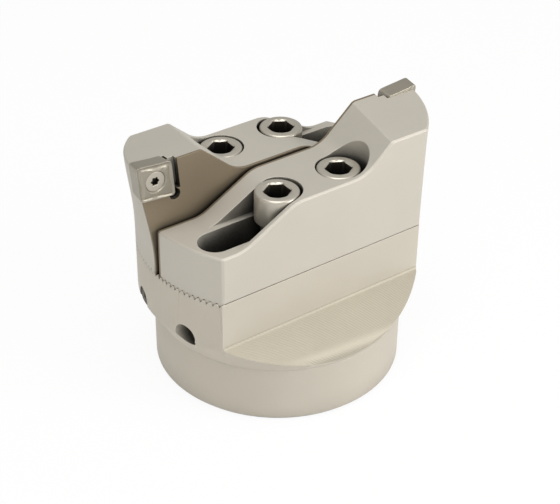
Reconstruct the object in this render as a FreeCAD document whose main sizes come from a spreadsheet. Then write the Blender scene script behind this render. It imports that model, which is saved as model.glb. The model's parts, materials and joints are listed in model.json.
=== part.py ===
"""Twin-bit rough boring head, millimetres, +Z up.

The origin is the centre of the body's bottom seat.  X is the direction in which
the two insert holders travel.  The front holder lies at negative Y and carries
its insert at +X; the rear holder is the same piece turned half a turn about Z.
"""
import FreeCAD
import Part
import math
import os

import Sketcher

doc = FreeCAD.newDocument("BoringHead")
Vec = FreeCAD.Vector

# ---------------------------------------------------------------- the sheet
sheet = doc.addObject("Spreadsheet::Sheet", "Dims")
row = 0


class Size:
    """A length, angle or count that carries its number and its sheet formula."""

    def __init__(self, number, formula):
        self.number = number
        self.formula = formula

    def __add__(self, other):
        other = size(other)
        return Size(self.number + other.number, "(%s + %s)" % (self.formula, other.formula))

    def __sub__(self, other):
        other = size(other)
        return Size(self.number - other.number, "(%s - %s)" % (self.formula, other.formula))

    def __mul__(self, other):
        other = size(other)
        return Size(self.number * other.number, "(%s * %s)" % (self.formula, other.formula))

    def __truediv__(self, other):
        other = size(other)
        return Size(self.number / other.number, "(%s / %s)" % (self.formula, other.formula))

    def __neg__(self):
        return Size(-self.number, "(-1 * %s)" % self.formula)


def size(value):
    """Take a plain number as a size."""
    if isinstance(value, Size):
        return value
    return Size(float(value), repr(float(value)))


def root(value):
    return Size(math.sqrt(value.number), "sqrt(%s)" % value.formula)


def sine(angle):
    return Size(math.sin(math.radians(angle.number)), "sin(%s)" % angle.formula)


def cosine(angle):
    return Size(math.cos(math.radians(angle.number)), "cos(%s)" % angle.formula)


def tangent(angle):
    return Size(math.tan(math.radians(angle.number)), "tan(%s)" % angle.formula)


def floor(value):
    return Size(float(math.floor(value.number)), "floor(%s)" % value.formula)


def dim(alias, number, note):
    """Write one driving dimension into the sheet and hand it back as a Size."""
    global row
    row += 1
    sheet.set("A%d" % row, note)
    sheet.set("B%d" % row, repr(number))
    sheet.setAlias("B%d" % row, alias)
    return Size(float(number), "Dims." + alias)


# body
shank_dia = dim("shank_dia", 64.0, "diameter of the lower cylinder")
shank_height = dim("shank_height", 15.5, "height of the lower cylinder")
shank_chamfer = dim("shank_chamfer", 0.8, "chamfer round the bottom edge")
flange_dia = dim("flange_dia", 72.0, "diameter of the slide block's round ends")
flange_chamfer = dim("flange_chamfer", 0.4, "broken edge of the shoulders")
shoulder_height = dim("shoulder_height", 20.5, "height of the two milled shoulders")
shoulder_radius = dim("shoulder_radius", 2.5, "cutter radius where shoulder meets flat")
slide_width = dim("slide_width", 39.0, "width of the slide block across its flats")
joint_height = dim("joint_height", 35.8, "middle of the serrations")

# serrations
tooth_pitch = dim("tooth_pitch", 1.5, "pitch of the serrations")
tooth_root = dim("tooth_root", 0.6, "root below the middle of the serrations")
tooth_crest = dim("tooth_crest", 0.3, "crest above the middle of the serrations")
tooth_gap = dim("tooth_gap", 0.02, "sliding clearance between the serrations")

# holders
slit_width = dim("slit_width", 1.2, "slit between the two holders")
holder_setback = dim("holder_setback", 0.3, "low end stands back from the block's end")
low_height = dim("low_height", 49.0, "top of the low end, and seat of the screw heads")
top_height = dim("top_height", 66.0, "height of the ridge")
nose_fall_angle = dim("nose_fall_angle", 6.5, "fall of the nose's top to its outer side, degrees")
low_ramp_angle = dim("low_ramp_angle", 28.0, "slope up from the low end, degrees")
low_ramp_foot = dim("low_ramp_foot", 23.8, "foot of the low ramp from the centre")
low_ramp_radius = dim("low_ramp_radius", 9.0, "rounding at both ends of the low ramp")
high_ramp_angle = dim("high_ramp_angle", 41.0, "slope up to the ridge, degrees")
high_ramp_foot = dim("high_ramp_foot", 11.7, "foot of the high ramp from the centre")
high_ramp_radius = dim("high_ramp_radius", 9.0, "rounding at the foot of the high ramp")
nose_reach = dim("nose_reach", 39.8, "inner top corner of the nose from the centre")
nose_outer_reach = dim("nose_outer_reach", 30.8, "outer top corner of the nose")
nose_cheek_height = dim("nose_cheek_height", 57.5, "lower edge of the nose beside the insert")
nose_cheek_reach = dim("nose_cheek_reach", 38.6, "inner corner of the nose at that height")
nose_cheek_outer = dim("nose_cheek_outer", 30.5, "outer corner of the nose at that height")
nose_waist_height = dim("nose_waist_height", 46.0, "height where the nose starts to swell")
nose_waist_reach = dim("nose_waist_reach", 36.5, "inner corner at that height")
nose_waist_outer = dim("nose_waist_outer", 30.35, "outer corner at that height")
edge_break = dim("edge_break", 0.4, "broken edges of the holders")

# screws of the holders
screw_line = dim("screw_line", 12.3, "screws from the middle plane")
screw_dia = dim("screw_dia", 8.0, "thread of the clamp and nut screws")
screw_length = dim("screw_length", 21.5, "length under the head")
head_dia = dim("head_dia", 11.0, "screw head")
head_height = dim("head_height", 8.0, "screw head height")
head_room = dim("head_room", 0.3, "room round a screw head, radial")
shank_room = dim("shank_room", 0.3, "room round a screw shank, radial")
thread_room = dim("thread_room", 0.05, "room round a thread, radial")
tap_extra = dim("tap_extra", 0.5, "tapped holes are deeper than the screw")
clamp_x = dim("clamp_x", 9.5, "clamp screw from the centre")
nut_x = dim("nut_x", 8.9, "nut screw from the centre, holder drawn in")
travel = dim("travel", 16.0, "travel of each holder")
slot_spare = dim("slot_spare", 0.5, "room in the slot at the inner end")
slot_runout = dim("slot_runout", 1.7, "slot beyond the travel at the low end")
nut_relief = dim("nut_relief", 2.0, "counterbore of the nut screw, longer towards the nose")
hex_key = dim("hex_key", 6.0, "socket of the clamp and nut screws, across flats")
hex_depth = dim("hex_depth", 4.4, "depth of that socket")

# feed: adjusting screw, nut, lock ring, thrust plug
feed_line = dim("feed_line", 9.5, "adjusting screw from the middle plane")
feed_height = dim("feed_height", 23.2, "adjusting screw above the seat")
feed_bore = dim("feed_bore", 6.15, "bore through the block")
feed_dia = dim("feed_dia", 6.0, "adjusting screw thread")
feed_neck = dim("feed_neck", 4.8, "adjusting screw between head and thread")
feed_head = dim("feed_head", 8.0, "length of the adjusting screw's head")
feed_key = dim("feed_key", 3.0, "socket of the adjusting screw")
nut_length = dim("nut_length", 9.0, "feed nut along X")
nut_outer = dim("nut_outer", 17.6, "feed nut's outer side from the middle plane")
nut_inner = dim("nut_inner", 4.8, "feed nut's inner side from the middle plane")
nut_floor = dim("nut_floor", 18.8, "underside of the feed nut")
nut_room = dim("nut_room", 0.05, "sliding room beside the feed nut")
nut_end_room = dim("nut_end_room", 0.5, "room at both ends of the nut's travel")
ring_length = dim("ring_length", 3.0, "lock ring")
ring_inset = dim("ring_inset", 3.0, "lock ring stands in from the end face")
plug_inset = dim("plug_inset", 1.2, "thrust plug stands in from the end face")
ring_key = dim("ring_key", 3.6, "hexagon through the lock ring")
plug_length = dim("plug_length", 3.0, "thrust plug")
end_play = dim("end_play", 0.05, "end play of the adjusting screw")

# inserts
tip_radius = dim("tip_radius", 40.4, "cutting corner from the head's axis")
tip_height = dim("tip_height", 67.2, "cutting corner above the seat")
insert_edge = dim("insert_edge", 9.67, "edge of the insert")
insert_thick = dim("insert_thick", 3.97, "insert thickness")
insert_nose = dim("insert_nose", 0.8, "corner radius of the insert")
insert_relief = dim("insert_relief", 7.0, "relief of the insert's sides, degrees")
insert_lean = dim("insert_lean", 5.0, "relief behind both cutting edges, degrees")
insert_corner = dim("insert_corner", 80.0, "corner angle of the insert, degrees")
insert_room = dim("insert_room", 0.1, "room beside the insert")
insert_bore = dim("insert_bore", 4.0, "hole through the insert")
gullet_width = dim("gullet_width", 1.7, "chip groove beside the insert")
gullet_depth = dim("gullet_depth", 2.4, "depth of the chip groove")
gullet_corner = dim("gullet_corner", 1.5, "radius of the pocket's corner relief")
insert_screw_dia = dim("insert_screw_dia", 3.5, "insert screw")
insert_key = dim("insert_key", 2.2, "socket of the insert screw")
insert_screw_length = dim("insert_screw_length", 6.4, "insert screw over all")

# mounting
socket_dia = dim("socket_dia", 32.0, "pilot socket in the bottom")
socket_depth = dim("socket_depth", 15.0, "depth of the pilot socket")
pilot_length = dim("pilot_length", 9.5, "ground length of the socket, from the seat")
relief_dia = dim("relief_dia", 33.0, "relief above the ground length")
socket_chamfer = dim("socket_chamfer", 0.8, "chamfer at the socket's mouth")
grub_dia = dim("grub_dia", 10.0, "radial clamp screw")
grub_length = dim("grub_length", 14.0, "radial clamp screw over all")
grub_height = dim("grub_height", 7.75, "radial clamp screw above the seat")
grub_inset = dim("grub_inset", 1.0, "radial clamp screw below the surface")
grub_key = dim("grub_key", 5.0, "socket of the radial clamp screw")
pin_dia = dim("pin_dia", 5.0, "drive pin")
pin_radius = dim("pin_radius", 11.0, "drive pin from the axis")
pin_sink = dim("pin_sink", 6.0, "drive pin let into the body")
pin_stand = dim("pin_stand", 5.0, "drive pin standing in the socket")

doc.recompute()

# ---------------------------------------------------------------- helpers


def new_body(label):
    body = doc.addObject("PartDesign::Body", label)
    body.Label = label
    return body


def plane(body, role):
    return [f for f in body.Origin.OriginFeatures if f.Role == role][0]


def sketch(body, role, offset=None):
    """A sketch on one of the body's own origin planes, lifted along its normal."""
    sk = body.newObject("Sketcher::SketchObject", body.Label + "_outline")
    sk.AttachmentSupport = [(plane(body, role), "")]
    sk.MapMode = "FlatFace"
    if offset is not None:
        sk.AttachmentOffset = FreeCAD.Placement(Vec(0, 0, offset.number), FreeCAD.Rotation())
        sk.setExpression("AttachmentOffset.Base.z", offset.formula)
    return sk


def tie(sk, constraint, value):
    """Add a dimension to a sketch and bind it to the sheet."""
    index = sk.addConstraint(constraint)
    sk.setExpression("Constraints[%d]" % index, value.formula)


def place_point(sk, geo, pos, x, y):
    """Fix a point of a sketch at x, y from the sketch's origin."""
    x = size(x)
    y = size(y)
    if x.formula == "0.0":
        sk.addConstraint(Sketcher.Constraint("PointOnObject", geo, pos, -2))
    else:
        tie(sk, Sketcher.Constraint("DistanceX", -1, 1, geo, pos, x.number), x)
    if y.formula == "0.0":
        sk.addConstraint(Sketcher.Constraint("PointOnObject", geo, pos, -1))
    else:
        tie(sk, Sketcher.Constraint("DistanceY", -1, 1, geo, pos, y.number), y)


def outline(sk, corners):
    """A closed outline.

    A corner is (x, y), or (x, y, radius, cx, cy) where the edge that starts
    there is an arc about cx, cy.
    """
    count = len(corners)
    edges = []
    for i, corner in enumerate(corners):
        nxt = corners[(i + 1) % count]
        a = Vec(size(corner[0]).number, size(corner[1]).number, 0)
        b = Vec(size(nxt[0]).number, size(nxt[1]).number, 0)
        if len(corner) == 2:
            edges.append((sk.addGeometry(Part.LineSegment(a, b), False), 1, 2))
            continue
        cx = size(corner[3]).number
        cy = size(corner[4]).number
        rad = size(corner[2]).number
        start = math.atan2(a.y - cy, a.x - cx)
        end = math.atan2(b.y - cy, b.x - cx)
        circle = Part.Circle(Vec(cx, cy, 0), Vec(0, 0, 1), rad)
        turn = (end - start) % (2 * math.pi)
        if turn <= math.pi:
            arc = Part.ArcOfCircle(circle, start, start + turn)
            edges.append((sk.addGeometry(arc, False), 1, 2))
        else:
            arc = Part.ArcOfCircle(circle, end, end + 2 * math.pi - turn)
            edges.append((sk.addGeometry(arc, False), 2, 1))
    for i in range(count):
        geo, _, last = edges[i]
        nxt, first, _ = edges[(i + 1) % count]
        sk.addConstraint(Sketcher.Constraint("Coincident", geo, last, nxt, first))
    for i, corner in enumerate(corners):
        place_point(sk, edges[i][0], edges[i][1], corner[0], corner[1])
        if len(corner) == 5:
            # The ends are fixed, so one coordinate of the centre fixes the arc.
            nxt = corners[(i + 1) % count]
            wide = abs(size(nxt[0]).number - size(corner[0]).number)
            tall = abs(size(nxt[1]).number - size(corner[1]).number)
            upright = tall > wide
            centre = size(corner[3] if upright else corner[4])
            kind = "DistanceX" if upright else "DistanceY"
            if centre.formula == "0.0":
                sk.addConstraint(Sketcher.Constraint("PointOnObject", edges[i][0], 3,
                                                     -2 if upright else -1))
            else:
                tie(sk, Sketcher.Constraint(kind, -1, 1, edges[i][0], 3, centre.number), centre)


def rectangle(sk, x_low, x_high, y_low, y_high):
    outline(sk, [(x_low, y_low), (x_high, y_low), (x_high, y_high), (x_low, y_high)])


def circle(sk, x, y, radius):
    geo = sk.addGeometry(Part.Circle(Vec(size(x).number, size(y).number, 0), Vec(0, 0, 1),
                                     radius.number), False)
    tie(sk, Sketcher.Constraint("Radius", geo, radius.number), radius)
    place_point(sk, geo, 3, x, y)


def slot(sk, x_low, x_high, y, radius):
    """A slot along the sketch's x axis, its end centres at x_low and x_high."""
    outline(sk, [(x_low, y - radius), (x_high, y - radius, radius, x_high, y),
                 (x_high, y + radius), (x_low, y + radius, radius, x_low, y)])


def hexagon(sk, x, y, across):
    """A hexagon with two flats square to the sketch's y axis."""
    half = across / 2
    side = across / root(size(3.0)) / 2
    outline(sk, [(x - side, y - half), (x + side, y - half), (x + side * 2, y),
                 (x + side, y + half), (x - side, y + half), (x - side * 2, y)])


def feature(body, kind, sk, length=None, reverse=False, both=False, through=False):
    """Pad or pocket a sketch, and make sure that it changed the solid."""
    before = body.Shape.Volume if not body.Shape.isNull() else 0.0
    feat = body.newObject("PartDesign::" + kind, body.Label + "_" + kind.lower())
    feat.Profile = sk
    if through:
        feat.Type = "ThroughAll"
    else:
        feat.Length = length.number
        feat.setExpression("Length", length.formula)
    feat.Reversed = reverse
    if both:
        feat.SideType = "Symmetric"
    sk.Visibility = False
    doc.recompute()
    after = body.Shape.Volume
    if kind == "Pad" and after <= before or kind == "Pocket" and after >= before:
        raise RuntimeError("%s of %s changes nothing" % (kind, body.Label))
    return feat


def pad(body, sk, length, **how):
    return feature(body, "Pad", sk, length, **how)


def pocket(body, sk, length=None, **how):
    return feature(body, "Pocket", sk, length, **how)


def turn(body, corners, role="XZ_Plane", kind="Revolution"):
    """Turn an outline given as (radius, height) about the sketch's upright axis."""
    sk = sketch(body, role)
    outline(sk, corners)
    feat = body.newObject("PartDesign::" + kind, body.Label + "_turned")
    feat.Profile = sk
    feat.ReferenceAxis = (sk, ["V_Axis"])
    feat.Angle = 360.0
    doc.recompute()
    return feat


def chamfer(body, feat, chosen, amount, kind="Chamfer"):
    """Break the edges that the test picks out."""
    names = []
    for i, edge in enumerate(feat.Shape.Edges):
        if chosen(edge):
            names.append("Edge%d" % (i + 1))
    if not names:
        raise RuntimeError("no edge to break on " + body.Label)
    cut = body.newObject("PartDesign::" + kind, body.Label + "_edges")
    cut.Base = (feat, names)
    prop = "Size" if kind == "Chamfer" else "Radius"
    setattr(cut, prop, amount.number)
    cut.setExpression(prop, amount.formula)
    doc.recompute()
    return cut


def put(body, x, y, z, turned=False, rotation=None):
    """Place a body; the rear copies are turned half a turn about the head's axis."""
    sign = -1 if turned else 1
    spin = FreeCAD.Rotation(Vec(0, 0, 1), 180 if turned else 0)
    if rotation is not None:
        spin = spin.multiply(rotation)
    x = size(x)
    y = size(y)
    z = size(z)
    body.Placement = FreeCAD.Placement(Vec(sign * x.number, sign * y.number, z.number), spin)
    body.setExpression("Placement.Base.x", "%d * %s" % (sign, x.formula))
    body.setExpression("Placement.Base.y", "%d * %s" % (sign, y.formula))
    body.setExpression("Placement.Base.z", z.formula)


def ends(edge):
    return [v.Point for v in edge.Vertexes]


SIDES = (("front", False), ("rear", True))
half_width = slide_width / 2
flange_radius = flange_dia / 2
seat = low_height
mid_height = low_height + head_height

# ---------------------------------------------------------------- head body
# The body is cut where the flare starts: the lower cylinder round the pilot socket,
# and the slide block on it, so that each has simple collision.
crest_level = joint_height + tooth_crest
shank_radius = shank_dia / 2
body = new_body("head_body")
turn(body, [
    (0, 0),
    (shank_radius - shank_chamfer, 0),
    (shank_radius, shank_chamfer),
    (shank_radius, shank_height),
    (0, shank_height),
])

# Pilot socket for the arbor, its drive pin hole and the radial clamp screw.
sk = sketch(body, "XY_Plane")
circle(sk, 0, 0, socket_dia / 2)
pocket(body, sk, socket_depth, reverse=True)
turn(body, [(0, -1), (socket_dia / 2 + socket_chamfer, -1), (socket_dia / 2 + socket_chamfer, 0),
            (socket_dia / 2, socket_chamfer), (0, socket_chamfer)], kind="Groove")
turn(body, [(0, pilot_length), (relief_dia / 2, pilot_length), (relief_dia / 2, socket_depth),
            (0, socket_depth)], kind="Groove")
sk = sketch(body, "XY_Plane", socket_depth)
circle(sk, pin_radius, 0, pin_dia / 2)
pocket(body, sk, pin_sink, reverse=True)
sk = sketch(body, "XZ_Plane")
circle(sk, 0, grub_height, grub_dia / 2 + thread_room)
bored = pocket(body, sk, shank_dia, reverse=False)

# Slide block, flared up to its round ends.
body = new_body("slide_block")
turn(body, [
    (0, shank_height),
    (shank_radius, shank_height),
    (flange_radius, shoulder_height - flange_chamfer),
    (flange_radius, crest_level),
    (0, crest_level),
])

# Two shoulders milled along X, with the cutter's radius left in the corner.
for sign in (1, -1):
    sk = sketch(body, "YZ_Plane")
    wall = half_width * sign
    reach = flange_radius * sign * 1.2
    arc_out = wall + shoulder_radius * sign
    outline(sk, [
        (wall, crest_level + 5),
        (wall, shoulder_height + shoulder_radius, shoulder_radius,
         arc_out, shoulder_height + shoulder_radius),
        (arc_out, shoulder_height),
        (reach, shoulder_height),
        (reach, crest_level + 5),
    ])
    pocket(body, sk, flange_dia * 2, both=True)

# Nut channels, open at the top and closed by the holders.
channel_low = nut_x - nut_length / 2 - nut_end_room
channel_high = nut_x + travel + nut_length / 2 + nut_end_room
for label, turned in SIDES:
    s = -1 if turned else 1
    sk = sketch(body, "XY_Plane", crest_level)
    xs = (channel_low * s, channel_high * s)
    ys = (-(nut_outer + nut_room) * s, -(nut_inner - nut_room) * s)
    rectangle(sk, xs[0], xs[1], ys[0], ys[1])
    channel = pocket(body, sk, crest_level - nut_floor + nut_room)

# Bores for the adjusting screws, right through the block.
sk = sketch(body, "YZ_Plane")
circle(sk, feed_line, feed_height, feed_bore / 2)
circle(sk, -feed_line, feed_height, feed_bore / 2)
pocket(body, sk, flange_dia * 2, both=True)

# Tapped holes for the two clamp screws.
screw_end = seat - screw_length
sk = sketch(body, "XY_Plane", crest_level)
circle(sk, -clamp_x, -screw_line, screw_dia / 2 + thread_room)
circle(sk, clamp_x, screw_line, screw_dia / 2 + thread_room)
pocket(body, sk, crest_level - screw_end + tap_extra)

# Serrations: one groove, then the row of them.
groove_slope = tooth_pitch / 4 / tooth_root
groove_lift = tooth_crest + 0.2
groove_half = (tooth_root + groove_lift) * groove_slope
crest_half = (tooth_root + tooth_crest) * groove_slope
per_side = floor((half_width + crest_half) / tooth_pitch + 0.5)
first = -(per_side - 0.5) * tooth_pitch
sk = sketch(body, "YZ_Plane")
outline(sk, [(first, joint_height - tooth_root), (first + groove_half, joint_height + groove_lift),
             (first - groove_half, joint_height + groove_lift)])
groove = pocket(body, sk, flange_dia * 2, both=True)
teeth = body.newObject("PartDesign::LinearPattern", "slide_block_serrations")
teeth.Originals = [groove]
teeth.Direction = (plane(body, "XZ_Plane"), [""])
teeth.Reversed = True
teeth.Mode = "Extent"
span = (per_side * 2 - 1) * tooth_pitch
teeth.Length = span.number
teeth.setExpression("Length", span.formula)
teeth.Occurrences = int(per_side.number * 2)
teeth.setExpression("Occurrences", (per_side * 2).formula)
body.Tip = teeth
doc.recompute()

# The drive pin's hole goes on into the block.
sk = sketch(body, "XY_Plane", socket_depth)
circle(sk, pin_radius, 0, pin_dia / 2)
pocket(body, sk, pin_sink, reverse=True)

# ---------------------------------------------------------------- holders
# The holder's frame is the head's own, drawn in: x grows towards the nose.
slit = slit_width / 2
foot_level = joint_height + tooth_gap - tooth_crest
blank_top = top_height + 4
low_radius = flange_radius - holder_setback


def along(radius, y):
    """Where a circle about the head's axis crosses the line at y."""
    return root(radius * radius - y * y)


def nose_section(body, level, reach, outer):
    """The blank's outline at one height.

    The nose end is an arc about a point on the X axis, through reach at the slit
    and outer at the flat side.
    """
    spare = size(1.0)
    wide = half_width + spare
    middle = (reach * reach + slit * slit - outer * outer
              - half_width * half_width) / ((reach - outer) * 2)
    radius = root((reach - middle) * (reach - middle) + slit * slit)
    sk = sketch(body, "XY_Plane", level)
    outline(sk, [
        (-along(low_radius, spare), spare, low_radius, 0, 0),
        (-along(low_radius, wide), -wide),
        (middle + along(radius, wide), -wide, radius, middle, 0),
        (middle + along(radius, spare), spare),
    ])
    sk.Visibility = False
    return sk


def outer_edge(edge):
    """True for the edges round the holder's outside that the hand touches."""
    a, b = ends(edge)
    if max(a.z, b.z) < low_height.number - 0.01:
        return False
    on_side = max(a.y, b.y) < -half_width.number + 0.01
    across = abs(a.y - b.y) > half_width.number - slit.number - 0.01
    round_end = across and abs(a.x - b.x) > 1
    return on_side or round_end and min(a.z, b.z) > low_height.number - 0.01


lean = insert_lean
far = insert_lean + insert_corner
back_x = -cosine(lean)
back_z = -sine(lean)
down_x = -cosine(far)
down_z = -sine(far)
centre_x = tip_radius + (back_x + down_x) * insert_edge / 2
centre_z = tip_height + (back_z + down_z) * insert_edge / 2

for label, turned in SIDES:
    # Blank: a solid that swells from the round foot to the longer, relieved
    # nose, a little too wide, then milled to width on both sides.
    body = new_body(label + "_insert_holder")
    spare = size(1.0)
    wide = half_width + spare
    sections = [nose_section(body, foot_level, along(flange_radius, slit),
                             along(flange_radius, half_width)),
                nose_section(body, nose_waist_height, nose_waist_reach, nose_waist_outer),
                nose_section(body, nose_cheek_height, nose_cheek_reach, nose_cheek_outer),
                nose_section(body, blank_top, nose_reach, nose_outer_reach)]
    blank = body.newObject("PartDesign::AdditiveLoft", body.Label + "_blank")
    blank.Profile = sections[0]
    blank.Sections = [(sk, [""]) for sk in sections[1:]]
    doc.recompute()
    beyond = flange_dia
    for level, reverse in ((slit, False), (half_width, True)):
        sk = sketch(body, "XZ_Plane", level)
        rectangle(sk, -beyond, beyond, -beyond, beyond * 2)
        pocket(body, sk, spare * 4, reverse=reverse)

    # Side profile: low end, ramp, middle flat and the ramp up to the nose.
    low_bend = low_ramp_radius * tangent(low_ramp_angle / 2)
    low_x = -low_ramp_foot
    mid_x = low_x + (mid_height - low_height) / tangent(low_ramp_angle)
    low_run = low_bend * cosine(low_ramp_angle)
    low_lift = low_bend * sine(low_ramp_angle)
    high_bend = high_ramp_radius * tangent(high_ramp_angle / 2)
    high_run = high_bend * cosine(high_ramp_angle)
    high_lift = high_bend * sine(high_ramp_angle)
    ridge_x = high_ramp_foot + (blank_top + 1 - mid_height) / tangent(high_ramp_angle)
    sk = sketch(body, "XZ_Plane")
    outline(sk, [
        (-beyond, low_height),
        (low_x - low_bend, low_height, low_ramp_radius,
         low_x - low_bend, low_height + low_ramp_radius),
        (low_x + low_run, low_height + low_lift),
        (mid_x - low_run, mid_height - low_lift, low_ramp_radius,
         mid_x + low_bend, mid_height - low_ramp_radius),
        (mid_x + low_bend, mid_height),
        (high_ramp_foot - high_bend, mid_height, high_ramp_radius,
         high_ramp_foot - high_bend, mid_height + high_ramp_radius),
        (high_ramp_foot + high_run, mid_height + high_lift),
        (ridge_x, blank_top + 1),
        (-beyond, blank_top + 1),
    ])
    pocket(body, sk, slide_width * 2, both=True)

    # Top of the nose, highest beside the slit and falling to the outer side.
    fall = tangent(nose_fall_angle)
    sk = sketch(body, "YZ_Plane")
    outline(sk, [
        (-wide, top_height - (wide - slit) * fall),
        (spare, top_height + (spare + slit) * fall),
        (spare, blank_top * 2),
        (-wide, blank_top * 2),
    ])
    shaped = pocket(body, sk, beyond * 2, both=True)

    # Broken edges: along the outer side's top, round both ends, down both corners.
    chamfer(body, shaped, outer_edge, edge_break)

    # Clamp slot with its wider way for the head, and the nut screw's hole.
    slot_low = -(clamp_x + travel + slot_runout)
    slot_high = -clamp_x + slot_spare
    deep = seat - foot_level + 1
    sk = sketch(body, "XY_Plane", seat)
    slot(sk, slot_low, slot_high, -screw_line, screw_dia / 2 + shank_room)
    pocket(body, sk, deep)
    sk = sketch(body, "XY_Plane", seat)
    slot(sk, slot_low, slot_high, -screw_line, head_dia / 2 + head_room)
    pocket(body, sk, blank_top, reverse=True)
    sk = sketch(body, "XY_Plane", seat)
    circle(sk, nut_x, -screw_line, screw_dia / 2 + shank_room)
    pocket(body, sk, deep)
    sk = sketch(body, "XY_Plane", seat)
    slot(sk, nut_x, nut_x + nut_relief, -screw_line, head_dia / 2 + head_room)
    pocket(body, sk, blank_top, reverse=True)

    # Insert pocket, open at the top and at the end, with its corner relief.
    room = insert_room / sine(insert_corner)
    seat_x = tip_radius + (back_x + down_x) * (insert_edge + room)
    seat_z = tip_height + (back_z + down_z) * (insert_edge + room)
    out = insert_edge * 2
    sk = sketch(body, "XZ_Plane")
    outline(sk, [
        (seat_x, seat_z),
        (seat_x - back_x * out, seat_z - back_z * out),
        (seat_x - (back_x + down_x) * out, seat_z - (back_z + down_z) * out),
        (seat_x - down_x * out, seat_z - down_z * out),
    ])
    pocket(body, sk, insert_thick, reverse=True)
    sk = sketch(body, "XZ_Plane")
    circle(sk, seat_x, seat_z, gullet_corner)
    pocket(body, sk, insert_thick, reverse=True)
    sk = sketch(body, "XZ_Plane")
    outline(sk, [
        (seat_x - down_x * gullet_corner, seat_z - down_z * gullet_corner),
        (seat_x - down_x * out, seat_z - down_z * out),
        (seat_x - down_x * out + back_x * gullet_width,
         seat_z - down_z * out + back_z * gullet_width),
        (seat_x - down_x * gullet_corner + back_x * gullet_width,
         seat_z - down_z * gullet_corner + back_z * gullet_width),
    ])
    pocket(body, sk, gullet_depth, reverse=True)
    sk = sketch(body, "XZ_Plane")
    circle(sk, centre_x, centre_z, insert_screw_dia / 2 + thread_room)
    pocket(body, sk, insert_screw_length + tap_extra, reverse=True)

    # Serrations under the foot.
    middle = joint_height + tooth_gap
    count = floor((half_width + crest_half) / tooth_pitch)
    sk = sketch(body, "YZ_Plane")
    outline(sk, [(-tooth_pitch, middle + tooth_root),
                 (-tooth_pitch - groove_half, middle - groove_lift),
                 (-tooth_pitch + groove_half, middle - groove_lift)])
    groove = pocket(body, sk, flange_dia * 2, both=True)
    teeth = body.newObject("PartDesign::LinearPattern", body.Label + "_serrations")
    teeth.Originals = [groove]
    teeth.Direction = (plane(body, "XZ_Plane"), [""])
    teeth.Mode = "Extent"
    span = (count - 1) * tooth_pitch
    teeth.Length = span.number
    teeth.setExpression("Length", span.formula)
    teeth.Occurrences = int(count.number)
    teeth.setExpression("Occurrences", count.formula)
    body.Tip = teeth
    put(body, 0, 0, 0, turned)
    doc.recompute()

# ---------------------------------------------------------------- cap screws
# Socket head screws with a slim head; z = 0 is under the head.


def cap_screw(label, x, y, turned):
    body = new_body(label)
    shank = screw_dia / 2
    head = head_dia / 2
    turn(body, [
        (0, -screw_length),
        (shank - 0.8, -screw_length),
        (shank, -screw_length + 0.8),
        (shank, 0),
        (head, 0),
        (head, head_height - 0.5),
        (head - 0.5, head_height),
        (0, head_height),
    ])
    sk = sketch(body, "XY_Plane", head_height)
    hexagon(sk, size(0.0), size(0.0), hex_key)
    pocket(body, sk, hex_depth)
    put(body, x, y, seat, turned)
    return body


for label, turned in SIDES:
    cap_screw(label + "_clamp_screw", -clamp_x, -screw_line, turned)
    cap_screw(label + "_nut_screw", nut_x, -screw_line, turned)

# ---------------------------------------------------------------- feed
face_x = along(flange_radius, feed_line)
ring_inner = face_x - ring_inset - ring_length
plug_inner = face_x - plug_inset - plug_length
upright_to_x = FreeCAD.Rotation(Vec(0, 1, 0), 90)

for label, turned in SIDES:
    body = new_body(label + "_feed_nut")
    sk = sketch(body, "XY_Plane", nut_floor)
    rectangle(sk, nut_x - nut_length / 2, nut_x + nut_length / 2, -nut_outer, -nut_inner)
    pad(body, sk, foot_level - nut_floor)
    sk = sketch(body, "XY_Plane", foot_level)
    circle(sk, nut_x, -screw_line, screw_dia / 2 + thread_room)
    pocket(body, sk, foot_level - screw_end + tap_extra)
    sk = sketch(body, "YZ_Plane")
    circle(sk, -feed_line, feed_height, feed_dia / 2 + thread_room)
    pocket(body, sk, flange_dia, both=True)
    put(body, 0, 0, 0, turned)

    # Adjusting screw: head, neck under the clamp screw, thread in the nut.
    body = new_body(label + "_adjusting_screw")
    start = -ring_inner + end_play
    total = plug_inner - end_play - start
    thread_at = channel_low - 1.5 - start
    turn(body, [
        (0, 0),
        (feed_dia / 2 - 0.4, 0),
        (feed_dia / 2, 0.4),
        (feed_dia / 2, feed_head),
        (feed_neck / 2, feed_head + 0.6),
        (feed_neck / 2, thread_at),
        (feed_dia / 2, thread_at + 0.6),
        (feed_dia / 2, total - 0.5),
        (feed_dia / 2 - 0.5, total),
        (0, total),
    ])
    sk = sketch(body, "XY_Plane")
    hexagon(sk, size(0.0), size(0.0), feed_key)
    pocket(body, sk, feed_key, reverse=True)
    put(body, start, -feed_line, feed_height, turned, upright_to_x)

    # Hollow lock ring in the bore's mouth, which the key passes through.
    body = new_body(label + "_lock_ring")
    sk = sketch(body, "XY_Plane")
    circle(sk, 0, 0, feed_bore / 2 - thread_room)
    hexagon(sk, size(0.0), size(0.0), ring_key)
    pad(body, sk, ring_length)
    put(body, -ring_inner - ring_length, -feed_line, feed_height, turned, upright_to_x)

    # Thrust plug that the other end of the adjusting screw runs against.
    body = new_body(label + "_thrust_plug")
    sk = sketch(body, "XY_Plane")
    circle(sk, 0, 0, feed_bore / 2 - thread_room)
    pad(body, sk, plug_length)
    sk = sketch(body, "XY_Plane", plug_length)
    hexagon(sk, size(0.0), size(0.0), feed_key)
    pocket(body, sk, plug_length / 2)
    put(body, plug_inner, -feed_line, feed_height, turned, upright_to_x)

# ---------------------------------------------------------------- inserts
# Upright frame: z = 0 is the rake face, the insert lies below it.
upright_to_y = FreeCAD.Rotation(Vec(1, 0, 0), -90)
sink = Size(0.35, "0.35")

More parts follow.
